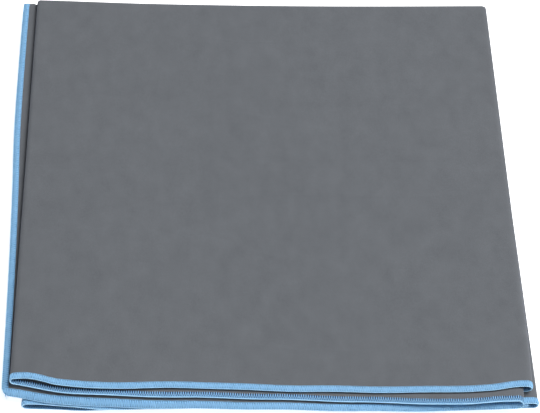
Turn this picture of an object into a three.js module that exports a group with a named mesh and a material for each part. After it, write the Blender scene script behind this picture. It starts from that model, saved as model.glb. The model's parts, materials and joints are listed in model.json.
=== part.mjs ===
// Quick dry towel, folded to a square of eight layers.
// The sheet is quartered along its length, then folded in half with that last fold at the back.
// Units are millimetres. X runs across the folded towel, Y towards the back fold and Z up.
import * as THREE from "three";

// The sheet and its overlocked border.
const sheetLength = 1600;
const sheetWidth = 800;
const clothThickness = 0.8;
const edgingWidth = 5;
const edgingThickness = 1.6;
const seamWidth = 0.8;
const seamThickness = 1.2;
const clearance = 0.3;

// How the layers lie in the folded stack.
const layerPitch = 2.5;
const innerFoldInset = 2 * layerPitch;
const freeEdgeOverhangFront = 5;
const freeEdgeOverhangBack = 12;
const lowerHalfShift = 3.5;
const lowerHalfNarrowing = 6;
const lowerOverhangFront = 13;
const frontSlip = 2;

// How far each part of a front edge lies behind the free corner of the upper half.
// The order follows the edge: free corner, inner fold, first fold, outer fold, hidden corner.
const upperSetbacks = [0, 3, 8, 13, 8];
const lowerSetbacks = [5, 5, 2, 4, 5];

// Trimmed thread tails at the four corners of the sheet.
const tailRadius = 0.55;
const tailLength = 3;

// Facets in a half turn of a layer, and in the fold at the back.
const foldFacets = 8;
const backFacets = 12;

const clothColour = 0x6c7074;
const threadColour = 0x8cbfee;
const seamColour = 0x5f93cc;

// Heights of the layers above the middle plane, from the hidden layer out to the top one.
const hiddenHeight = 0.5 * layerPitch;
const freeHeight = 1.5 * layerPitch;
const secondHeight = 2.5 * layerPitch;
const coverHeight = 3.5 * layerPitch;
const middleZ = coverHeight + clothThickness / 2;

// A half turn whose middle line is radius away is this much longer than it is wide.
const halfTurnExtra = (radius) => (Math.PI - 2) * radius;
const firstFoldRadius = (coverHeight - secondHeight) / 2;
const innerFoldRadius = (secondHeight - freeHeight) / 2;
const outerFoldRadius = (coverHeight - hiddenHeight) / 2;

// Width from the first fold to the outer fold, when the free edge passes the first fold by overhang.
function foldedWidth(overhang) {
  const turns = halfTurnExtra(firstFoldRadius) / 2 + halfTurnExtra(innerFoldRadius);
  return (sheetLength / 2 - turns - overhang) / 2 + innerFoldInset;
}

const frontWidth = foldedWidth(freeEdgeOverhangFront);
const backWidth = foldedWidth(freeEdgeOverhangBack);
const halfDepth = sheetWidth / 2 - (Math.PI / 2) * freeHeight + frontSlip;
const backOfCover = coverHeight + clothThickness / 2;
const backFoldY = (halfDepth - backOfCover) / 2;
const frontY = backFoldY - halfDepth;

const mix = (a, b, share) => a + (b - a) * share;

// The middle line of one half of the stack at depth y, as seven runs from the free edge inwards.
// Each run is a layer or the half turn between two layers, and the last ends at the hidden edge.
function runsAt(side, y) {
  const share = (y - frontY) / halfDepth;
  const shift = side < 0 ? lowerHalfShift * (1 - share) : 0;
  const narrowing = side < 0 ? lowerHalfNarrowing * (1 - share) : 0;
  const overhangFront = side < 0 ? lowerOverhangFront : freeEdgeOverhangFront;
  const overhang = mix(overhangFront, freeEdgeOverhangBack, share);
  const width = mix(frontWidth, backWidth, share) - narrowing;
  const right = frontWidth / 2 + shift;
  const first = right - width;
  const firstX = first + firstFoldRadius;
  const innerX = right - innerFoldInset - innerFoldRadius;
  const outerX = right - outerFoldRadius;
  const freeX = first - overhang;
  const coverLength = outerX - firstX + (Math.PI / 2) * firstFoldRadius;
  const hiddenLength = sheetLength / 2 - coverLength - Math.PI * outerFoldRadius;
  return [
    { from: freeX, to: innerX, height: freeHeight },
    { centre: innerX, radius: innerFoldRadius, from: freeHeight, side: 1 },
    { from: innerX, to: firstX, height: secondHeight },
    { centre: firstX, radius: firstFoldRadius, from: secondHeight, side: -1 },
    { from: firstX, to: outerX, height: coverHeight },
    { centre: outerX, radius: outerFoldRadius, from: coverHeight, side: 1, down: true },
    { from: outerX, to: outerX - hiddenLength, height: hiddenHeight },
  ];
}

// A point of that middle line and its normal: x across, h above the middle plane.
function pointOnRun(run, share) {
  if (run.radius === undefined) {
    const facing = run.to > run.from ? 1 : -1;
    return { x: mix(run.from, run.to, share), h: run.height, nx: 0, nh: facing };
  }
  const turn = run.down ? -1 : 1;
  const angle = Math.PI * share;
  const middle = run.from + turn * run.radius;
  const outX = run.side * Math.sin(angle);
  const outH = -turn * Math.cos(angle);
  const facing = -run.side * turn;
  return {
    x: run.centre + run.radius * outX,
    h: middle + run.radius * outH,
    nx: facing * outX,
    nh: facing * outH,
  };
}

// Setback of the front edge along the runs: it changes along the layers and holds through the folds.
function setbackAt(side, along) {
  const setbacks = side > 0 ? upperSetbacks : lowerSetbacks;
  const run = Math.min(Math.floor(along), 6);
  const corner = Math.floor((run + 1) / 2);
  return run % 2 ? setbacks[corner] : mix(setbacks[corner], setbacks[corner + 1], along - run);
}

// A place at depth y on the upper (side 1) or lower (side -1) half, and the sheet's normal there.
function onHalf(side, along, y) {
  const run = Math.min(Math.floor(along), 6);
  const p = pointOnRun(runsAt(side, y)[run], along - run);
  return {
    point: new THREE.Vector3(p.x, y, middleZ + side * p.h),
    normal: new THREE.Vector3(p.nx, 0, side * p.nh).multiplyScalar(side),
  };
}

// A place on the fold at the back: turn 0 joins the upper half and turn 1 the lower half.
function onBackFold(along, turn) {
  const run = Math.min(Math.floor(along), 6);
  const p = pointOnRun(runsAt(1, backFoldY)[run], along - run);
  const angle = Math.PI * turn;
  return {
    point: new THREE.Vector3(p.x, backFoldY + p.h * Math.sin(angle), middleZ + p.h * Math.cos(angle)),
    normal: new THREE.Vector3(p.nx, p.nh * Math.sin(angle), p.nh * Math.cos(angle)),
  };
}

// Stations along the runs, with each half turn cut into facets.
function stations(start, end) {
  const list = [start];
  for (let run = 0; run < 7; run += 1) {
    const steps = run % 2 ? foldFacets : 1;
    for (let step = 0; step < steps; step += 1) {
      const at = run + step / steps;
      if (at > start + 1e-6 && at < end - 1e-6) list.push(at);
    }
  }
  list.push(end);
  return list;
}

// A closed solid of one thickness on a grid of places, rows by columns.
function sheetSolid(rows, thickness) {
  const columns = rows[0].length;
  const positions = [];
  for (const face of [0.5, -0.5]) {
    for (const row of rows) {
      for (const place of row) {
        const point = place.point.clone().addScaledVector(place.normal, face * thickness);
        positions.push(...point.toArray());
      }
    }
  }
  const faceSize = rows.length * columns;
  const index = [];
  const quad = (a, b, c, d) => index.push(a, b, c, a, c, d);
  const at = (r, c) => r * columns + c;
  for (let r = 0; r + 1 < rows.length; r += 1) {
    for (let c = 0; c + 1 < columns; c += 1) {
      const corners = [at(r, c), at(r + 1, c), at(r + 1, c + 1), at(r, c + 1)];
      quad(...corners);
      quad(...corners.reverse().map((i) => i + faceSize));
    }
  }
  const rim = [];
  for (let c = 0; c + 1 < columns; c += 1) rim.push(at(0, c));
  for (let r = 0; r + 1 < rows.length; r += 1) rim.push(at(r, columns - 1));
  for (let c = columns - 1; c > 0; c -= 1) rim.push(at(rows.length - 1, c));
  for (let r = rows.length - 1; r > 0; r -= 1) rim.push(at(r, 0));
  rim.forEach((a, i) => {
    const b = rim[(i + 1) % rim.length];
    quad(a, b, b + faceSize, a + faceSize);
  });
  const geometry = new THREE.BufferGeometry();
  geometry.setAttribute("position", new THREE.Float32BufferAttribute(positions, 3));
  geometry.setIndex(index);
  geometry.computeVertexNormals();
  return geometry;
}

const cloth = { color: clothColour, roughness: 0.95, metalness: 0 };
const thread = { color: threadColour, roughness: 0.8, metalness: 0 };
const seamThread = { color: seamColour, roughness: 0.8, metalness: 0 };

const towel = new THREE.Group();

// Thicker pieces are raised so that everything on the lowest layer bears on the same plane.
function addSheet(name, rows, thickness, finish) {
  const mesh = new THREE.Mesh(sheetSolid(rows, thickness), new THREE.MeshStandardMaterial(finish));
  mesh.name = name;
  mesh.position.z = (thickness - clothThickness) / 2;
  towel.add(mesh);
}

// The border from its outside in: edging, clearance, seam, clearance, cloth.
const seamInset = edgingWidth + clearance;
const clothInset = seamInset + seamWidth + clearance;

// Shares of the free and the hidden layer taken by a distance in from their side edges.
function alongFromEdge(side, y, inset, hidden) {
  const run = runsAt(side, y)[hidden ? 6 : 0];
  const share = inset / Math.abs(run.to - run.from);
  return hidden ? 7 - share : share;
}

const panelEndY = backFoldY - clearance;

// Rows across the layers between two insets from the side edges, at the two given ends in Y.
function panelRows(side, sideInset, nearY, farY) {
  const start = alongFromEdge(side, backFoldY, sideInset, false);
  const end = alongFromEdge(side, backFoldY, sideInset, true);
  return stations(start, end).map((along) => [
    onHalf(side, along, nearY(along)),
    onHalf(side, along, farY(along)),
  ]);
}

for (const [half, side] of [["upper", 1], ["lower", -1]]) {
  const edge = (along) => frontY + setbackAt(side, along);
  const panel = panelRows(side, clothInset, (a) => edge(a) + clothInset, () => panelEndY);
  addSheet(`cloth_${half}_half`, panel, clothThickness, cloth);

  const edging = panelRows(side, seamInset, edge, (a) => edge(a) + edgingWidth);
  addSheet(`front_edging_${half}`, edging, edgingThickness, thread);

  const seamFront = (along) => edge(along) + seamInset;
  const seam = panelRows(side, clothInset, seamFront, (along) => seamFront(along) + seamWidth);
  addSheet(`front_seam_${half}`, seam, seamThickness, seamThread);
}

const backTurns = Array.from({ length: backFacets + 1 }, (_, i) => i / backFacets);

function backFoldRows(start, end) {
  return stations(start, end).map((along) => backTurns.map((turn) => onBackFold(along, turn)));
}

const foldStart = alongFromEdge(1, backFoldY, clothInset, false);
const foldEnd = alongFromEdge(1, backFoldY, clothInset, true);
addSheet("cloth_back_fold", backFoldRows(foldStart, foldEnd), clothThickness, cloth);

// The strips that run along the two short sides of the sheet, each starting inset from its edge.
const strips = [
  { kind: "edging", inset: 0, width: edgingWidth, thickness: edgingThickness, finish: thread },
  { kind: "seam", inset: seamInset, width: seamWidth, thickness: seamThickness, finish: seamThread },
];

// The free side shows past the first fold, and the hidden side lies between the two halves.
for (const [border, hidden] of [["free", false], ["hidden", true]]) {
  for (const strip of strips) {
    const insets = [strip.inset, strip.inset + strip.width];
    const ends = insets.map((inset) => alongFromEdge(1, backFoldY, inset, hidden));
    if (hidden) ends.reverse();
    for (const [half, side] of [["upper", 1], ["lower", -1]]) {
      const rows = ends.map((along) => [
        onHalf(side, along, frontY + setbackAt(side, along) + strip.inset),
        onHalf(side, along, panelEndY),
      ]);
      addSheet(`${border}_side_${strip.kind}_${half}`, rows, strip.thickness, strip.finish);
    }
    addSheet(`${border}_side_${strip.kind}_turn`, backFoldRows(...ends), strip.thickness, strip.finish);
  }
}

// Trimmed tails of thread stand out of the four corners.
for (const [border, corner] of [["free", 0], ["hidden", 7]]) {
  for (const [half, side] of [["upper", 1], ["lower", -1]]) {
    const place = onHalf(side, corner, frontY + setbackAt(side, corner));
    const tail = new THREE.Mesh(
      new THREE.CapsuleGeometry(tailRadius, tailLength, 4, 10),
      new THREE.MeshStandardMaterial(seamThread),
    );
    tail.name = `corner_tail_${border}_${half}`;
    tail.position.copy(place.point);
    tail.position.x += edgingWidth / 2;
    tail.position.y -= tailLength / 2 + tailRadius + clearance;
    tail.position.z += (edgingThickness - clothThickness) / 2;
    towel.add(tail);
  }
}

// The origin is the middle of the folded towel, on the plane that it rests on.
const box = new THREE.Box3().setFromObject(towel, true);
const middle = box.getCenter(new THREE.Vector3());
towel.position.set(-middle.x, -middle.y, -box.min.z);

export default towel;
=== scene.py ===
import json
import math

import bpy
import numpy as np
from mathutils import Matrix, Vector


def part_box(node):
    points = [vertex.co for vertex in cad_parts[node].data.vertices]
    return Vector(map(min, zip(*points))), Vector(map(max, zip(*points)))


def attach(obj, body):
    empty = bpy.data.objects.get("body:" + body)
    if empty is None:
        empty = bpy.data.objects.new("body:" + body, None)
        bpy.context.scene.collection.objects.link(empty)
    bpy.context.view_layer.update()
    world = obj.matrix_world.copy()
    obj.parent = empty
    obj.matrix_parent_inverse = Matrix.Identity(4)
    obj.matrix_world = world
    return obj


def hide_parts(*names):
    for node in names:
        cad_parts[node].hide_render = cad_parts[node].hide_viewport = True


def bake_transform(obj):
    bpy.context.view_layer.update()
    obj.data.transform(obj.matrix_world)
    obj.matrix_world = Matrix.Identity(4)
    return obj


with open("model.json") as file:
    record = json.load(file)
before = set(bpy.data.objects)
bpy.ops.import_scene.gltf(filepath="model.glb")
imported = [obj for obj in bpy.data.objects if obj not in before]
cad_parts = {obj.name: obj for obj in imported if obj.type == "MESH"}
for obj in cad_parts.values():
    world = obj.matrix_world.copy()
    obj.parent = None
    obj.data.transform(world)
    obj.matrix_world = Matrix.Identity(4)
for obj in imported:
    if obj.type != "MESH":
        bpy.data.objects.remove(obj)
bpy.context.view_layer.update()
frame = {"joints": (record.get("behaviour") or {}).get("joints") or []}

mm = 0.001

camera = {
    "place": (-0.0904, -0.9267, 1.2598),
    "downwards": 53.75,      # degrees below level
    "heading": 5.9,          # degrees right of the Y axis
    "roll": 5.4,
    "lens": 125.56,
}


def addCamera():
    down, heading, roll = (math.radians(camera[k]) for k in ("downwards", "heading", "roll"))
    ahead = Vector((math.sin(heading) * math.cos(down), math.cos(heading) * math.cos(down), -math.sin(down)))
    right = Vector((math.cos(heading), -math.sin(heading), 0))
    up = right.cross(ahead)
    side = right * math.cos(roll) + up * math.sin(roll)
    top = up * math.cos(roll) - right * math.sin(roll)
    data = bpy.data.cameras.new("camera")
    data.lens = camera["lens"]
    data.sensor_width = 36
    eye = bpy.data.objects.new("camera", data)
    bpy.context.scene.collection.objects.link(eye)
    turn = Matrix((side, top, -ahead)).transposed().to_4x4()
    eye.matrix_world = Matrix.Translation(camera["place"]) @ turn
    bpy.context.scene.camera = eye


addCamera()
print("camera placed")

hinge = frame["joints"][0]["pos_m"]
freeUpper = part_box("free_side_edging_upper")
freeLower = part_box("free_side_edging_lower")
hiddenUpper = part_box("hidden_side_edging_upper")
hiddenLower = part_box("hidden_side_edging_lower")
edgingWidth = 5 * mm     # of the edging's own solids
frontOut = 6.5 * mm      # the setbacks count from this far in front of the upper edging's solid

folds = {
    "sheet": (1.6, 0.8),
    "clothThickness": 0.8 * mm,
    "frontLine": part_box("front_edging_upper")[0][1] - frontOut,
    "backLine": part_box("cloth_back_fold")[0][1],
    "freeShowsFront": 4.7 * mm,
    "freeShowsBack": 11.5 * mm,
    "lowerFirstFoldIn": 9.2 * mm,
    "innerFoldIn": 7.6 * mm,
    "lowerOuterOut": 0.7 * mm,
    "cornerIn": 1.4 * mm,
    "cornerInOver": 0.05,
    "middleTilt": 0.004,
    "hiddenGap": 1.1 * mm,
    "restHeight": 0.5 * mm,
    "backBulge": 0.92,
    "backBulgeMost": 9.0 * mm,
    "freeBackOut": 4.4 * mm,
    "freeBackOver": 5.0 * mm,
    "cornerRound": 4.5 * mm,
    "usualSetback": 10 * mm,
}

# Each curve below is a list of (share, millimetres), from 0 at the first fold to 1 at the outer fold.
# Gaps between one layer and the next in the upper half, at the front edge and at the back fold.
upperGaps = {
    "free": {"front": ((0, 2.0), (0.4, 2.2), (0.7, 1.9), (1, 1.6)), "back": ((0, 2.0), (1, 2.1))},
    "second": {
        "front": ((0, 2.7), (0.3, 2.1), (0.55, 2.2), (0.8, 3.6), (0.9, 4.7), (1, 4.6)),
        "back": ((0, 2.2), (0.5, 2.1), (1, 2.2)),
    },
    "cover": {
        "front": ((0, 4.6), (0.05, 4.9), (0.1, 4.6), (0.28, 2.6), (0.6, 2.2), (0.88, 1.9), (1, 2.2)),
        "back": ((0, 4.0), (0.1, 3.8), (0.3, 2.4), (0.6, 2.2), (1, 2.6)),
    },
}

# In the lower half, how far down each layer lies, as a share of the way from the hidden layer to the floor.
lowerShares = {
    "free": {"front": ((0, 0.15), (0.2, 0.18), (0.4, 0.33), (1, 0.36)), "back": ((0, 0.32), (1, 0.32))},
    "second": {
        "front": ((0, 0.3), (0.2, 0.3), (0.35, 0.5), (0.5, 0.64), (1, 0.66)),
        "back": ((0, 0.6), (1, 0.66)),
    },
}

# From the front line back to each layer's front edge.
setbacks = {
    1: {
        "free": (
            (0, 11.9), (0.02, 10.4), (0.06, 7.3), (0.13, 4.6), (0.2, 3),
            (0.3, 1.4), (0.45, 0.2), (0.56, -0.5), (0.78, -0.3), (0.92, 2), (1, 3.9),
        ),
        "second": (
            (0, 19), (0.03, 16.6), (0.09, 11.8), (0.18, 9.5), (0.45, 7.2),
            (0.64, 5.1), (0.8, 3), (0.88, 2.8), (0.93, 4.9), (1, 5.9),
        ),
        "cover": (
            (0, 20.3), (0.03, 20.8), (0.09, 15.4), (0.14, 13.6), (0.2, 13.4), (0.33, 15),
            (0.45, 13.5), (0.65, 12.2), (0.8, 12.1), (0.88, 12.6), (0.92, 13.8), (0.97, 17.1), (1, 17.6),
        ),
        "hidden": ((0, 17), (0.9, 17), (1, 18)),
    },
    -1: {
        "free": ((0, 16), (0.1, 13), (0.3, 9), (1, 8.5)),
        "second": (
            (0, 5.8), (0.05, 6.2), (0.09, 4.9), (0.13, 3.7), (0.17, 2.1),
            (0.21, 1.9), (0.27, 3), (0.42, 6.3), (0.6, 8.2), (1, 8),
        ),
        "cover": (
            (0, 6.4), (0.05, 5.5), (0.09, 5.2), (0.13, 4.2), (0.16, 4.4), (0.21, 5.6),
            (0.28, 7.8), (0.4, 9.4), (0.7, 8.5), (0.9, 7.4), (1, 8.5),
        ),
        "hidden": ((0, 16), (0.1, 14), (0.3, 9.5), (1, 8.5)),
    },
}

# The free layer's front edge reaches past what is under it and hangs a little.
droop = {
    "by": (
        (0, 4.2), (0.05, 4.6), (0.1, 4.8), (0.2, 4.6), (0.3, 3.4),
        (0.42, 2), (0.6, 1.5), (0.8, 2.1), (1, 2.4),
    ),
    "over": 10 * mm,
    "side": 1.2 * mm,
    "sideOver": 16 * mm,
}

# How far the fold at the back lies behind a straight line.
backStray = ((0, 0.4), (0.18, -0.1), (0.32, 0.6), (0.6, 1.8), (0.8, 3.6), (1, 5.9))

# How far the free side edge strays outwards, by (share of the depth, millimetres).
sideStray = ((0, 1.5), (0.24, 1.0), (0.36, 1.2), (0.5, 1.8), (0.62, 2.8), (0.85, 2), (1, 0.8))

swell = {"height": 0.25 * mm, "edge": 0.3 * mm}


def curveThrough(points, share):
    # a smooth curve through (share, value) points
    at, v = np.array(points, float).T
    slope = np.gradient(v, at) if len(at) > 2 else np.repeat(v[1] - v[0], 2)
    s = np.clip(share, -0.01, 1.01)
    i = np.clip(np.searchsorted(at, s, side="right") - 1, 0, len(at) - 2)
    span = at[i + 1] - at[i]
    t = (s - at[i]) / span
    return (
        v[i] * (2 * t**3 - 3 * t**2 + 1)
        + v[i + 1] * (3 * t**2 - 2 * t**3)
        + slope[i] * span * (t**3 - 2 * t**2 + t)
        + slope[i + 1] * span * (t**3 - t**2)
    )


def mix(a, b, t):
    return a + (b - a) * t


leftX = freeUpper[1][0] - edgingWidth + folds["freeShowsFront"]
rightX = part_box("cloth_upper_half")[1][0]
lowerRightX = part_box("cloth_lower_half")[1][0]


def shareAcross(x):
    return (x - leftX) / (rightX - leftX)


def middleHeight(x):
    return hinge[2] - folds["middleTilt"] * x


def softWaves(x, y):
    # slow swells, the same on every layer, between -1 and 1
    return (
        0.5 * np.sin(31 * x + 17 * y + 0.6)
        + 0.3 * np.sin(-23 * x + 41 * y + 2.1)
        + 0.2 * np.sin(67 * x + 29 * y + 4.0)
    )


def layerHeight(side, layer, x, depth):
    # height of a layer's middle over the floor; depth is 0 at the front edge and 1 at the back fold
    share = shareAcross(x)
    d = np.clip(depth, 0, 1)
    d = d * d * (3 - 2 * d)
    hidden = middleHeight(x) + side * folds["hiddenGap"]
    order = ("free", "second", "cover")
    if side > 0:
        height = hidden
        for name in order[: order.index(layer) + 1] if layer != "hidden" else ():
            gaps = upperGaps[name]
            front, back = (curveThrough(gaps[end], share) for end in ("front", "back"))
            height = height + mm * mix(front, back, d)
        return height
    if layer == "hidden":
        return hidden
    if layer == "cover":
        return folds["restHeight"] + 0 * x
    shares = lowerShares[layer]
    part = mix(curveThrough(shares["front"], share), curveThrough(shares["back"], share), d)
    return mix(hidden, folds["restHeight"], part)


def foldX(side, fold, depth):
    # where a fold or a side edge lies across the towel at this depth
    d = np.clip(depth, -0.05, 1)
    freeBox, hiddenBox = (freeUpper, hiddenUpper) if side > 0 else (freeLower, hiddenLower)
    firstBack = freeUpper[0][0] + folds["freeShowsBack"]
    if fold == "free":
        stray = mm * curveThrough(sideStray, d) * (1 if side > 0 else 0.8)
        return mix(freeBox[1][0] - edgingWidth, freeBox[0][0], d) - stray
    if fold == "hidden":
        return mix(hiddenBox[1][0] - edgingWidth, hiddenBox[0][0], d)
    if fold == "first":
        return mix(leftX + (0 if side > 0 else folds["lowerFirstFoldIn"]), firstBack, d)
    outer = mix(rightX if side > 0 else lowerRightX + folds["lowerOuterOut"], rightX, d)
    if side > 0:
        outer = outer - folds["cornerIn"] * np.exp(-np.clip(d, 0, 1) / folds["cornerInOver"])
    return outer - (folds["innerFoldIn"] if fold == "inner" else 0)


# how far each fold reaches, as a share of half its height
foldReach = {"inner": 1.8, "first": 1.4, "outer": 1.25}
foldLayers = {"inner": ("free", "second"), "first": ("second", "cover"), "outer": ("cover", "hidden")}


def foldTurn(side, fold, depth):
    # the half turn's centre across, how far it reaches, and its two heights
    before, after = foldLayers[fold]
    edge = foldX(side, fold, depth)
    start = layerHeight(side, before, edge, depth)
    end = layerHeight(side, after, edge, depth)
    reach = foldReach[fold] * abs(end - start) / 2
    centre = edge + reach if fold == "first" else edge - reach
    return centre, reach, start, end


def frontEdge(side, layer, x):
    share = shareAcross(x)
    wave = swell["edge"] * np.sin(90 * x + 3 * len(layer) + side) * np.sin(np.pi * np.clip(share, 0, 1))
    return folds["frontLine"] + mm * curveThrough(setbacks[side][layer], share) + wave


runs = ("free", "inner", "second", "first", "cover", "outer", "hidden")


def onHalf(side, along, depth):
    # points of the upper (1) or lower (-1) half
    # along counts the seven runs, from the free edge to the hidden one
    run = np.clip(np.floor(along), 0, 6).astype(int)
    r = along - run
    points = np.zeros(along.shape + (3,))
    inner, first, outer = (foldTurn(side, name, depth) for name in ("inner", "first", "outer"))
    ends = {
        "free": (foldX(side, "free", depth), inner[0]),
        "second": (inner[0], first[0]),
        "cover": (first[0], outer[0]),
        "hidden": (outer[0], foldX(side, "hidden", depth)),
    }
    turns = {"inner": inner, "first": first, "outer": outer}
    for number, name in enumerate(runs):
        on = run == number
        if not on.any():
            continue
        t = r[on]
        d = depth[on]
        if name in ends:
            x = mix(ends[name][0][on], ends[name][1][on], t)
            z = layerHeight(side, name, x, d)
            front = frontEdge(side, name, x)
        else:
            centre, reach, start, end = (value[on] for value in turns[name])
            way = -1 if name == "first" else 1
            x = centre + way * reach * np.sin(np.pi * t)
            z = (start + end) / 2 - (end - start) / 2 * np.cos(np.pi * t)
            before, after = foldLayers[name]
            soft = t * t * (3 - 2 * t)
            front = mix(frontEdge(side, before, centre), frontEdge(side, after, centre), soft)
        back = folds["backLine"] + mm * curveThrough(backStray, shareAcross(x))
        y = mix(front, back, d)
        if side > 0 and name in ("free", "inner"):
            hang = np.clip(1 - (y - front) / droop["over"], 0, 1.3) ** 2
            fade = 1 - t if name == "inner" else 1
            z = z - mm * curveThrough(droop["by"], shareAcross(x)) * hang * fade
        if name == "free":
            inFromSide = np.clip(1 - (x - ends[name][0][on]) / droop["sideOver"], 0, 1.3)
            z = z - droop["side"] * inFromSide**2 * (1 if side > 0 else 0.5)
        lift = np.clip(z / (2 * hinge[2]), 0, 1.2)
        calm = 1 - np.clip(d, 0, 1) ** 6
        z = z + swell["height"] * softWaves(x, y) * lift**2 * calm
        points[on] = np.stack([x, y, z], -1)
    return points


layerLength = rightX - leftX
halfLength = folds["backLine"] - folds["frontLine"] - folds["usualSetback"]


def backReach(along, x, half):
    # how far the fold at the back bulges out, from half the height between its two layers
    ends = np.array([5.0, 6.0])
    upperEnds, lowerEnds = (onHalf(side, ends, np.ones(2))[:, 2] for side in (1, -1))
    coverHalf, hiddenHalf = (upperEnds - lowerEnds) / 2
    # it keeps its reach well round the outer fold, so that the corner looks square
    held = mix(coverHalf, hiddenHalf, np.clip(along - 5, 0, 1) ** 3)
    half = np.where((along > 5) & (along < 6), held, half)
    # the free layer bulges further where it shows past the first fold
    shown = np.clip((foldX(1, "first", np.ones(1)) + 1 * mm - x) / folds["freeBackOver"], 0, 1)
    shown = np.where(along < 1, shown * shown * (3 - 2 * shown), 0)
    return np.minimum(folds["backBulge"] * half, folds["backBulgeMost"]) + folds["freeBackOut"] * shown


def place(along, over):
    # points of the whole sheet
    # over is 0 to 1 on the upper half, 1 to 2 round the back, 2 to 3 on the lower half
    along, over = np.broadcast_arrays(np.asarray(along, float), np.asarray(over, float))
    # the sheet's corners are rounded by drawing both distances in
    r = folds["cornerRound"]
    a = np.clip(r - layerLength * np.minimum(along, 7 - along), 0, None)
    b = np.clip(r - halfLength * np.minimum(over, 3 - over), 0, None)
    pull = 0.3 * a * b / r
    along = along + np.where(along < 3.5, pull, -pull) / layerLength
    over = over + np.where(over < 1.5, pull, -pull) / halfLength
    points = np.zeros(along.shape + (3,))
    onUpper, onLower = over < 1, over > 2
    onBack = ~(onUpper | onLower)
    if onUpper.any():
        points[onUpper] = onHalf(1, along[onUpper], over[onUpper])
    if onLower.any():
        points[onLower] = onHalf(-1, along[onLower], 3 - over[onLower])
    if onBack.any():
        a, turn = along[onBack], over[onBack] - 1
        top, bottom = (onHalf(side, a, np.ones_like(a)) for side in (1, -1))
        half = (top[:, 2] - bottom[:, 2]) / 2
        p = mix(top, bottom, turn[:, None])
        p[:, 1] += backReach(a, top[:, 0], half) * np.sin(np.pi * turn)
        p[:, 2] = (top[:, 2] + bottom[:, 2]) / 2 + half * np.cos(np.pi * turn)
        points[onBack] = p
    return points


def placeWithNormal(along, over):
    # the same points with the sheet's normal there, which is its dense-stitched side
    along, over = np.broadcast_arrays(np.asarray(along, float), np.asarray(over, float))
    step = 2e-4
    byAlong = place(along + step, over) - place(along - step, over)
    byOver = place(along, over + step) - place(along, over - step)
    normal = np.cross(byAlong, byOver)
    normal /= np.maximum(np.linalg.norm(normal, axis=-1, keepdims=True), 1e-15)
    return place(along, over), normal


def addMesh(name, points, quads, *materials, use=None):
    # one smooth mesh; use says which of the materials each face takes
    data = bpy.data.meshes.new(name)
    data.vertices.add(len(points))
    data.vertices.foreach_set("co", np.asarray(points, np.float32).ravel())
    data.loops.add(quads.size)
    data.loops.foreach_set("vertex_index", quads.astype(np.int32).ravel())
    data.polygons.add(len(quads))
    data.polygons.foreach_set("loop_start", np.arange(0, quads.size, 4, dtype=np.int32))
    data.update(calc_edges=True)
    for material in materials:
        data.materials.append(material)
    if use is not None:
        data.polygons.foreach_set("material_index", np.asarray(use, np.int32))
    data.validate()
    data.shade_smooth()
    piece = bpy.data.objects.new(name, data)
    bpy.context.scene.collection.objects.link(piece)
    return piece


def gridQuads(rows, columns, closed=False):
    # quads of a grid of rows by columns, which closes round the columns if asked
    r = np.arange(rows - 1)[:, None]
    c = np.arange(columns if closed else columns - 1)[None, :]
    n = (c + 1) % columns
    corners = [r * columns + c, r * columns + n, (r + 1) * columns + n, (r + 1) * columns + c]
    return np.stack([np.broadcast_to(k, (rows - 1, c.shape[1])) for k in corners], -1).reshape(-1, 4)


def stations(edges, steps):
    # places from 0 to 1, dense near both ends
    near = np.array(edges)
    inner = np.linspace(near[-1], 1 - near[-1], steps + 1)[1:-1]
    return np.concatenate([near, inner, (1 - near)[::-1]])


def newMaterial(name):
    material = bpy.data.materials.new(name)
    material.use_nodes = True
    nodes, links = material.node_tree.nodes, material.node_tree.links
    return material, nodes, links, nodes["Principled BSDF"]


def addNoise(nodes, links, coords, scale, detail, stretch=None):
    noise = nodes.new("ShaderNodeTexNoise")
    noise.inputs["Scale"].default_value = scale
    noise.inputs["Detail"].default_value = detail
    source = coords.outputs["Object"]
    if stretch:
        mapping = nodes.new("ShaderNodeMapping")
        mapping.inputs["Scale"].default_value = stretch
        links.new(source, mapping.inputs["Vector"])
        source = mapping.outputs["Vector"]
    links.new(source, noise.inputs["Vector"])
    return noise


def addRamp(nodes, links, source, stops):
    ramp = nodes.new("ShaderNodeValToRGB")
    elements = ramp.color_ramp.elements
    while len(elements) < len(stops):
        elements.new(0.5)
    for element, (position, colour) in zip(elements, stops):
        element.position = position
        element.color = (*colour, 1)
    links.new(source, ramp.inputs["Fac"])
    return ramp


def addBump(nodes, links, height, distance, strength, under=None):
    bump = nodes.new("ShaderNodeBump")
    bump.inputs["Distance"].default_value = distance
    bump.inputs["Strength"].default_value = strength
    links.new(height, bump.inputs["Height"])
    if under:
        links.new(under.outputs["Normal"], bump.inputs["Normal"])
    return bump


suede = {
    "dark": (0.098, 0.104, 0.114),
    "light": (0.132, 0.140, 0.152),
    "sheen": (0.60, 0.64, 0.85),
    "napSize": 1700,
    "strokeSize": 85,
    "pileSize": 420,
    "roughness": 0.95,
    "sheenWeight": 0.28,
    "creaseSize": 10,
    "creaseHeight": 0.25 * mm,
}


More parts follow.
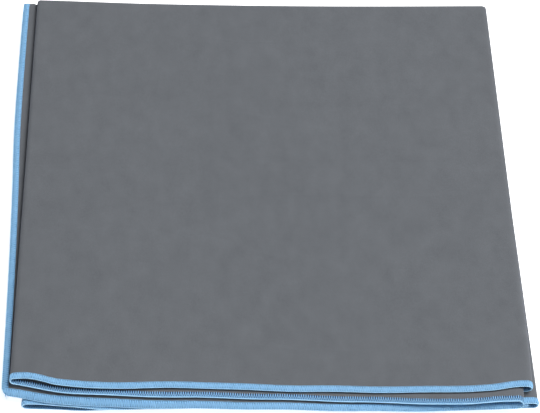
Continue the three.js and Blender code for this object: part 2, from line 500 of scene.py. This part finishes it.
def suedeMaterial():
    material, nodes, links, shader = newMaterial("suedeMicrofibre")
    coords = nodes.new("ShaderNodeTexCoord")
    nap = addNoise(nodes, links, coords, suede["napSize"], 3)
    strokes = addNoise(nodes, links, coords, suede["strokeSize"], 6, (1, 0.7, 1))
    blend = nodes.new("ShaderNodeMix")
    blend.data_type = "FLOAT"
    blend.inputs["Factor"].default_value = 0.4
    links.new(nap.outputs["Fac"], blend.inputs[2])
    links.new(strokes.outputs["Fac"], blend.inputs[3])
    tone = addRamp(nodes, links, blend.outputs[0], [(0.3, suede["dark"]), (0.7, suede["light"])])
    links.new(tone.outputs["Color"], shader.inputs["Base Color"])
    shader.inputs["Roughness"].default_value = suede["roughness"]
    shader.inputs["Specular IOR Level"].default_value = 0.15
    shader.inputs["Sheen Weight"].default_value = suede["sheenWeight"]
    shader.inputs["Sheen Roughness"].default_value = 0.35
    shader.inputs["Sheen Tint"].default_value = (*suede["sheen"], 1)
    fine = addBump(nodes, links, nap.outputs["Fac"], 0.25 * mm, 0.5)
    pile = addNoise(nodes, links, coords, suede["pileSize"], 2)
    soft = addBump(nodes, links, pile.outputs["Fac"], 0.25 * mm, 0.3, fine)
    # faint creases, mostly across the towel
    folded = addNoise(nodes, links, coords, suede["creaseSize"], 3, (0.4, 1.5, 1))
    stops = [(0.47, (0, 0, 0)), (0.5, (1, 1, 1)), (0.53, (0, 0, 0))]
    crease = addRamp(nodes, links, folded.outputs["Fac"], stops)
    creased = addBump(nodes, links, crease.outputs["Color"], suede["creaseHeight"], 0.35, soft)
    links.new(creased.outputs["Normal"], shader.inputs["Normal"])
    return material


threads = {"fibreSize": 2600, "patchSize": 160, "roughness": 0.75, "fibreHeight": 0.12 * mm}


def threadMaterial(name, dark, light, sheen):
    material, nodes, links, shader = newMaterial(name)
    coords = nodes.new("ShaderNodeTexCoord")
    fibre = addNoise(nodes, links, coords, threads["fibreSize"], 3)
    patch = addNoise(nodes, links, coords, threads["patchSize"], 2)
    blend = nodes.new("ShaderNodeMix")
    blend.data_type = "FLOAT"
    blend.inputs["Factor"].default_value = 0.4
    links.new(fibre.outputs["Fac"], blend.inputs[2])
    links.new(patch.outputs["Fac"], blend.inputs[3])
    tone = addRamp(nodes, links, blend.outputs[0], [(0.3, dark), (0.7, light)])
    links.new(tone.outputs["Color"], shader.inputs["Base Color"])
    shader.inputs["Roughness"].default_value = threads["roughness"]
    shader.inputs["Specular IOR Level"].default_value = 0.3
    shader.inputs["Sheen Weight"].default_value = sheen
    shader.inputs["Sheen Roughness"].default_value = 0.4
    bump = addBump(nodes, links, fibre.outputs["Fac"], threads["fibreHeight"], 0.6)
    links.new(bump.outputs["Normal"], shader.inputs["Normal"])
    return material


cloth = suedeMaterial()
looperThread = threadMaterial("looperThread", (0.205, 0.445, 0.705), (0.30, 0.57, 0.835), 0.2)
# the rim thread is lighter than the loopers' thread: a painted highlight along the rim
rimThreadPaintedHighlight = threadMaterial("rimThreadPaintedHighlight", (0.34, 0.61, 0.85), (0.46, 0.75, 0.97), 0.2)
# the bed under the loopers is a deeper blue than the threads: painted shade between the stitches
threadBedPaintedShade = threadMaterial("threadBedPaintedShade", (0.10, 0.25, 0.47), (0.17, 0.36, 0.60), 0.1)
# the bed on the open side is near black: painted shade in the holes between the teeth
openBedPaintedShade = threadMaterial("openBedPaintedShade", (0.010, 0.030, 0.08), (0.025, 0.065, 0.15), 0)
needleThread = threadMaterial("needleThread", (0.18, 0.39, 0.63), (0.26, 0.52, 0.77), 0.15)

clothMesh = {
    "acrossStep": 8 * mm,
    "frontInset": 0.3 * mm,
    "frontRows": (1 * mm, 2.5 * mm, 4.5 * mm, 7 * mm, 10 * mm, 14 * mm, 20 * mm),
    "turnFacets": 14,
    "bendRows": 10,
    "bendHalf": 0.5 * mm,
    "backFacets": 8,
}


def alongStations(step, turnFacets, start=0.0, end=7.0):
    values = []
    for run in range(7):
        if run % 2:
            values.append(run + np.arange(turnFacets) / turnFacets)
        else:
            near = (0, 0.003, 0.007, 0.013, 0.021)
            values.append(run + stations(near, round(layerLength / step))[:-1])
    values = np.concatenate(values)
    values = values[(values > start + 1e-4) & (values < end - 1e-4)]
    return np.concatenate([[start], values, [end]])


def overStations(flatCount, turnCount):
    # stations down the upper half, round the back and up the lower half
    flat = np.linspace(0, 1, flatCount)
    turn = np.linspace(0, 1, turnCount)
    return np.concatenate([flat, 1 + turn[1:], 2 + flat[1:]])


def backRows(along):
    # shares of the turn at the back, with rows packed where the two halves part
    top, bottom = (onHalf(side, along, np.ones_like(along))[:, 2] for side in (1, -1))
    middle = middleHeight(onHalf(1, along, np.ones_like(along))[:, 0])
    half = (top - bottom) / 2
    offsets = np.linspace(1, -1, clothMesh["bendRows"]) * clothMesh["bendHalf"]
    level = (middle[:, None] + offsets - ((top + bottom) / 2)[:, None]) / half[:, None]
    bend = np.arccos(np.clip(level, -0.98, 0.98)) / np.pi
    share = np.linspace(0, 1, clothMesh["backFacets"] + 1)
    before = bend[:, :1] * share[:-1]
    after = 1 - (1 - bend[:, -1:]) * (1 - share[1:])
    return np.concatenate([before, bend, after], 1)


def addCloth():
    sheetFront = clothMesh["frontInset"]
    lengthOfHalf = folds["backLine"] - folds["frontLine"]
    freeInset = sheetFront / (rightX - leftX)
    along = alongStations(clothMesh["acrossStep"], clothMesh["turnFacets"], freeInset, 7 - freeInset)
    near = np.array((sheetFront, *clothMesh["frontRows"])) / lengthOfHalf
    rest = np.linspace(near[-1], 1, round(lengthOfHalf / clothMesh["acrossStep"]))[1:-1]
    half = np.concatenate([near, rest])
    back = backRows(along)
    count = len(along)
    over = np.concatenate(
        [np.tile(half, (count, 1)), 1 + back, np.tile(3 - half[::-1], (count, 1))], 1
    )
    points, normals = placeWithNormal(np.broadcast_to(along[:, None], over.shape), over)
    thick = folds["clothThickness"] / 2
    rows, columns = over.shape
    faces = gridQuads(rows, columns)
    front = faces[:, ::-1]
    rim = np.concatenate([
        np.arange(columns - 1),
        np.arange(rows - 1) * columns + columns - 1,
        (rows - 1) * columns + np.arange(columns - 1, 0, -1),
        np.arange(rows - 1, 0, -1) * columns,
    ])
    size = rows * columns
    nextRim = np.roll(rim, -1)
    wall = np.stack([rim, nextRim, nextRim + size, rim + size], -1)
    quads = np.concatenate([front, faces + size, wall])
    faces = [(points + way * thick * normals).reshape(-1, 3) for way in (1, -1)]
    return addMesh("towelCloth", np.concatenate(faces), quads, cloth)


towelCloth = addCloth()
print("cloth folded:", len(towelCloth.data.polygons), "faces")

overlock = {
    "pitch": 1.8 * mm,
    "width": 4.3 * mm,
    "rimOut": 0.2 * mm,
    "denseRise": 0.74 * mm,
    "openRise": 0.62 * mm,
    "openFrom": 0.5 * mm,
    "openTo": 4.2 * mm,
    "looperWidth": 0.46 * mm,
    "looperHeight": 0.24 * mm,
    "openLooperWidth": 0.2 * mm,
    "openRimWidth": 0.28 * mm,
    "toothGather": 0.11,
    "rimRadius": 0.4 * mm,
    "needleRadius": 0.22 * mm,
    "perStitch": 10,
    "unevenness": 0.06,
    "sideStart": 3.4 * mm,
}

# How finely an edge is followed by its threads and by the bed under them.
threadSteps = {"alongStep": 0.8 * mm, "turnFacets": 40, "flatStations": 300, "turnStations": 80}
bedSteps = {"alongStep": 2.5 * mm, "turnFacets": 16, "flatStations": 140, "turnStations": 24}

# The section of the bed under the threads: distance in from the edge, and height over the sheet's middle.
bedSection = (
    (4.3, 0.36), (3.9, 0.56), (2.4, 0.62), (0.8, 0.56), (0, 0.36), (-0.25, 0.0),
    (0, -0.36), (0.8, -0.5), (2.4, -0.5), (3.9, -0.46), (4.1, -0.2), (4.2, 0.1),
)


def edgeKeys(kind, steps):
    if kind == "front":
        return alongStations(steps["alongStep"], steps["turnFacets"])
    return overStations(steps["flatStations"], steps["turnStations"])


def edgeRun(kind, border):
    # one edge of the sheet, and the distance along it of its places
    keys = edgeKeys(kind, threadSteps)
    if kind == "front":
        line = place(keys, np.full_like(keys, 0.0 if border == "upper" else 3.0))
    else:
        line = place(np.full_like(keys, 0.0 if border == "free" else 7.0), keys)
    steps = np.linalg.norm(np.diff(line, axis=0), axis=1)
    distance = np.concatenate([[0], np.cumsum(steps)])
    return {"kind": kind, "border": border, "keys": keys, "distance": distance, "length": distance[-1]}


def onEdge(run, u, v, n):
    # points u along an edge, v in from it and n up from the sheet, with the sheet's normals there
    beyond = np.minimum(u, 0) + np.maximum(u - run["length"], 0)
    key = np.interp(u, run["distance"], run["keys"])
    if run["kind"] == "front":
        along = key + beyond / layerLength
        over = v / halfLength if run["border"] == "upper" else 3 - v / halfLength
    else:
        over = key + beyond / halfLength
        along = v / layerLength if run["border"] == "free" else 7 - v / layerLength
    points, normals = placeWithNormal(along, over)
    return points + normals * np.asarray(n)[..., None], normals


def tube(path, up, width, height, sides):
    # one closed tube with flattened section along a path
    tangent = np.gradient(path, axis=0)
    tangent /= np.maximum(np.linalg.norm(tangent, axis=1, keepdims=True), 1e-12)
    across = np.cross(tangent, up)
    across /= np.maximum(np.linalg.norm(across, axis=1, keepdims=True), 1e-12)
    lift = np.cross(across, tangent)
    angle = np.linspace(0, 2 * np.pi, sides, endpoint=False)
    width = np.broadcast_to(width, len(path))[:, None, None]
    height = np.broadcast_to(height, len(path))[:, None, None]
    ring = (
        path[:, None]
        + height * np.cos(angle)[None, :, None] * lift[:, None]
        + width * np.sin(angle)[None, :, None] * across[:, None]
    )
    quads = gridQuads(len(path), sides, closed=True)
    first = np.arange(sides)
    last = (len(path) - 1) * sides + first
    points = ring.reshape(-1, 3)
    caps = []
    for cap, flip in ((first, True), (last, False)):
        centre = len(points)
        points = np.concatenate([points, points[cap].mean(0, keepdims=True)])
        # each cap is a fan of quads that share the centre
        for i in range(0, sides, 2):
            quad = [cap[i], cap[(i + 1) % sides], cap[(i + 2) % sides], centre]
            caps.append(quad[::-1] if flip else quad)
    return points, np.concatenate([quads, np.array(caps)])


def joined(parts):
    points, quads, base = [], [], 0
    for p, q in parts:
        points.append(p)
        quads.append(q + base)
        base += len(p)
    return np.concatenate(points), np.concatenate(quads)


def threadWobble(t, seed):
    return 0.5 * np.sin(1.7 * t + seed) + 0.5 * np.sin(0.61 * t + 2.3 * seed)


def addEdging(name, run, seed):
    o = overlock
    # the side's threads start under the front's
    start = o["sideStart"] if run["kind"] == "side" else 0
    count = int((run["length"] - 2 * start) / o["pitch"])
    pitch = (run["length"] - 2 * start) / count
    t = np.arange(count * o["perStitch"] + 1) / o["perStitch"]
    u = start + t * pitch
    uneven = o["unevenness"] * threadWobble(t, seed)

    # dense side: the looper goes out to the rim and back once in each stitch
    swing = (1 - np.cos(2 * np.pi * t)) / 2
    v = mix(o["width"] * (0.97 + uneven), -o["rimOut"] * 0.5, swing)
    inward = np.clip(v / o["width"], 0, 1)
    rise = 0.55 + 0.45 * np.sin(np.pi * np.clip(inward, 0.05, 0.9))
    n = o["denseRise"] * rise + 0.05 * mm * np.sin(9 * t)
    path, up = onEdge(run, u + 0.15 * mm * threadWobble(t, seed + 1), v, n)
    dense = tube(path, up, o["looperWidth"], o["looperHeight"], 4)

    # open side: teeth that point from the rim to the needle line, with holes between them
    v = mix(o["openTo"] * (1 + uneven), o["openFrom"], swing)
    n = -o["openRise"] * (1 - 0.12 * np.cos(2 * np.pi * t))
    path, up = onEdge(run, u + (0.25 - o["toothGather"] * np.sin(2 * np.pi * t)) * o["pitch"], v, n)
    wide = mix(o["openLooperWidth"], o["openRimWidth"], swing)
    loose = tube(path, up, wide, o["looperHeight"], 4)

    # the rim where both loopers lock, beaded once in each stitch
    count = int(run["length"] / o["pitch"])
    k = np.arange(count * 5 + 1) / 5
    bead = np.cos(2 * np.pi * k)
    v = -o["rimOut"] - 0.07 * mm * bead
    path, up = onEdge(run, k * run["length"] / count, v, 0.05 * mm * np.sin(2 * np.pi * k))
    radius = o["rimRadius"] * (1 + 0.12 * bead)
    rim = tube(path, up, radius, radius * 1.15, 6)

    points, quads = joined([dense, loose, rim])
    # the rim's faces take the lighter rim colour, a painted highlight
    use = np.repeat([0, 1], [len(dense[1]) + len(loose[1]), len(rim[1])])
    return addMesh(name, points, quads, looperThread, rimThreadPaintedHighlight, use=use)


def addBed(name, run):
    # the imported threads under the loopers, which hold the cut edge of the cloth
    section = np.array(bedSection) * mm
    keys = edgeKeys(run["kind"], bedSteps)
    u = np.interp(keys, run["keys"], run["distance"])[:, None] + 0 * section[:, 0]
    v = np.broadcast_to(section[:, 0], u.shape)
    n = np.broadcast_to(section[:, 1], u.shape)
    points, _ = onEdge(run, u, v, n)
    rows, columns = u.shape
    quads = gridQuads(rows, columns, closed=True)
    caps = []
    for row, flip in ((0, True), (rows - 1, False)):
        ring = row * columns + np.arange(columns)
        for i in range(columns // 2 - 1):
            quad = [ring[i], ring[i + 1], ring[columns - 2 - i], ring[columns - 1 - i]]
            caps.append(quad[::-1] if flip else quad)
    quads = np.concatenate([quads, np.array(caps)])
    if run["kind"] == "side":
        quads = quads[:, ::-1]
    if run["border"] in ("lower", "hidden"):
        quads = quads[:, ::-1]
    # the section's last points are on the open side, where the bed takes a near-black colour: painted shade
    # in the holes between the teeth
    use = (np.arange(len(quads)) % columns > 6) & (np.arange(len(quads)) < (rows - 1) * columns)
    return addMesh(name, points.reshape(-1, 3), quads, threadBedPaintedShade, openBedPaintedShade, use=use)


def addNeedleSeam(name, run, seed):
    o = overlock
    count = int(run["length"] / o["pitch"])
    t = np.arange(count * 4 + 1) / 4
    u = t * run["length"] / count
    rise = folds["clothThickness"] / 2 + o["needleRadius"] * (0.35 + 0.55 * np.sin(np.pi * t) ** 2)
    v = o["width"] + 0.25 * mm + 0.08 * mm * threadWobble(t, seed)
    path, up = onEdge(run, u, v, rise)
    points, quads = tube(path, up, o["needleRadius"] * 1.2, o["needleRadius"], 4)
    return addMesh(name, points, quads, needleThread)


cornerTail = {"strands": 3, "threadRadius": 0.2 * mm, "knotRadius": 0.24 * mm, "inFromEnd": 0.4 * mm}


def addTail(name, run, atStart, seed):
    # the loopers' trimmed ends at a corner: a knot and three short curls
    parts = []
    start = cornerTail["inFromEnd"] if atStart else run["length"] - cornerTail["inFromEnd"]
    way = -1 if atStart else 1
    for strand in range(cornerTail["strands"]):
        t = np.linspace(0, 1, 14)
        turn = 2 * np.pi * (0.35 + 0.15 * strand) * t + seed + strand
        u = start + way * (0.2 + (2.2 + 0.5 * strand) * t) * mm
        v = (1.2 + 0.8 * strand + (0.7 * np.sin(turn) - 0.5 * t)) * mm
        n = (0.15 * strand - 0.15 + 0.35 * np.sin(turn * 1.3) * t) * mm
        path, up = onEdge(run, u, v, n)
        parts.append(tube(path, up, cornerTail["threadRadius"], cornerTail["threadRadius"], 6))
    t = np.linspace(0, 1, 40)
    u = start + way * (0.1 + 0.5 * np.cos(2 * np.pi * 2 * t)) * mm
    v = (1.6 + 0.9 * np.sin(2 * np.pi * 3 * t + seed)) * mm
    n = 0.35 * np.sin(2 * np.pi * 5 * t) * mm
    path, up = onEdge(run, u, v, n)
    parts.append(tube(path, up, cornerTail["knotRadius"], cornerTail["knotRadius"], 6))
    points, quads = joined(parts)
    return addMesh(name, points, quads, needleThread)


def bendAtBack(piece):
    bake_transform(piece)


for half in ("upper", "lower"):
    run = edgeRun("front", half)
    made = {
        "edging": addEdging(f"frontEdging_{half}", run, 1 if half == "upper" else 4),
        "bed": addBed(f"frontEdgingBed_{half}", run),
        "seam": addNeedleSeam(f"frontSeam_{half}", run, 2 if half == "upper" else 5),
    }
    for part, piece in made.items():
        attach(piece, f"{half}_half")
    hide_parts(f"front_edging_{half}")
    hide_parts(f"front_seam_{half}")

for sideEdge in ("free", "hidden"):
    run = edgeRun("side", sideEdge)
    made = {
        "edging": addEdging(f"{sideEdge}SideEdging", run, 7 if sideEdge == "free" else 9),
        "bed": addBed(f"{sideEdge}SideEdgingBed", run),
        "seam": addNeedleSeam(f"{sideEdge}SideSeam", run, 8 if sideEdge == "free" else 3),
    }
    for part, piece in made.items():
        bendAtBack(piece)
    for part in ("edging", "seam"):
        nodes = [f"{sideEdge}_side_{part}_{stretch}" for stretch in ("upper", "lower", "turn")]
        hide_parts(*nodes)
    for half in ("upper", "lower"):
        atStart = half == "upper"
        tail = addTail(f"cornerTail_{sideEdge}_{half}", run, atStart, 2.0 if atStart else 3.1)
        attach(tail, f"{half}_half")
        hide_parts(f"corner_tail_{sideEdge}_{half}")

bendAtBack(towelCloth)
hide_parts("cloth_upper_half", "cloth_lower_half", "cloth_back_fold")

studio = {
    "floorColour": (0.9, 0.9, 0.9),
    "floorGlow": 0.8,
    "world": 0.09,
    "worldColour": (0.78, 0.87, 1.0),
    "backdrop": 0.9,
    "topPlace": (1.9, 0.7, 4.4),
    "topPower": 345,
    "topSize": 3.2,
    "frontPlace": (0.1, -1.7, 1.8),
    "frontPower": 5,
    "frontSize": 1.2,
}


def addFloor():
    size = 6
    corners = np.array([(-size, -size, 0), (size, -size, 0), (size, size, 0), (-size, size, 0)], float)
    corners[:, 2] = -0.1 * mm
    material, _, _, shader = newMaterial("paleFloor")
    shader.inputs["Base Color"].default_value = (*studio["floorColour"], 1)
    shader.inputs["Roughness"].default_value = 0.9
    shader.inputs["Specular IOR Level"].default_value = 0.1
    shader.inputs["Emission Color"].default_value = (1, 1, 1, 1)
    shader.inputs["Emission Strength"].default_value = studio["floorGlow"]
    floor = addMesh("floor", corners, np.array([[0, 1, 2, 3]]), material)


def addLight(name, place, power, size):
    data = bpy.data.lights.new(name, "AREA")
    data.energy = power
    data.shape = "SQUARE"
    data.size = size
    lamp = bpy.data.objects.new(name, data)
    lamp.location = place
    lamp.rotation_euler = (-Vector(place)).to_track_quat("-Z", "Y").to_euler()
    bpy.context.scene.collection.objects.link(lamp)


def addStudio():
    addFloor()
    for light in ("top", "front"):
        addLight(f"{light}Softbox", *(studio[light + part] for part in ("Place", "Power", "Size")))
    world = bpy.data.worlds.new("studio")
    world.use_nodes = True
    nodes, links = world.node_tree.nodes, world.node_tree.links
    nodes["Background"].inputs["Color"].default_value = (*studio["worldColour"], 1)
    # the backdrop looks pale, and lights the towel only a little
    seen = nodes.new("ShaderNodeLightPath")
    strength = nodes.new("ShaderNodeMapRange")
    strength.inputs["To Min"].default_value = studio["world"]
    strength.inputs["To Max"].default_value = studio["backdrop"]
    links.new(seen.outputs["Is Camera Ray"], strength.inputs["Value"])
    links.new(strength.outputs["Result"], nodes["Background"].inputs["Strength"])
    bpy.context.scene.world = world
    view = bpy.context.scene.view_settings
    view.view_transform = "Standard"
    view.look = "None"


addStudio()
print("studio lit")
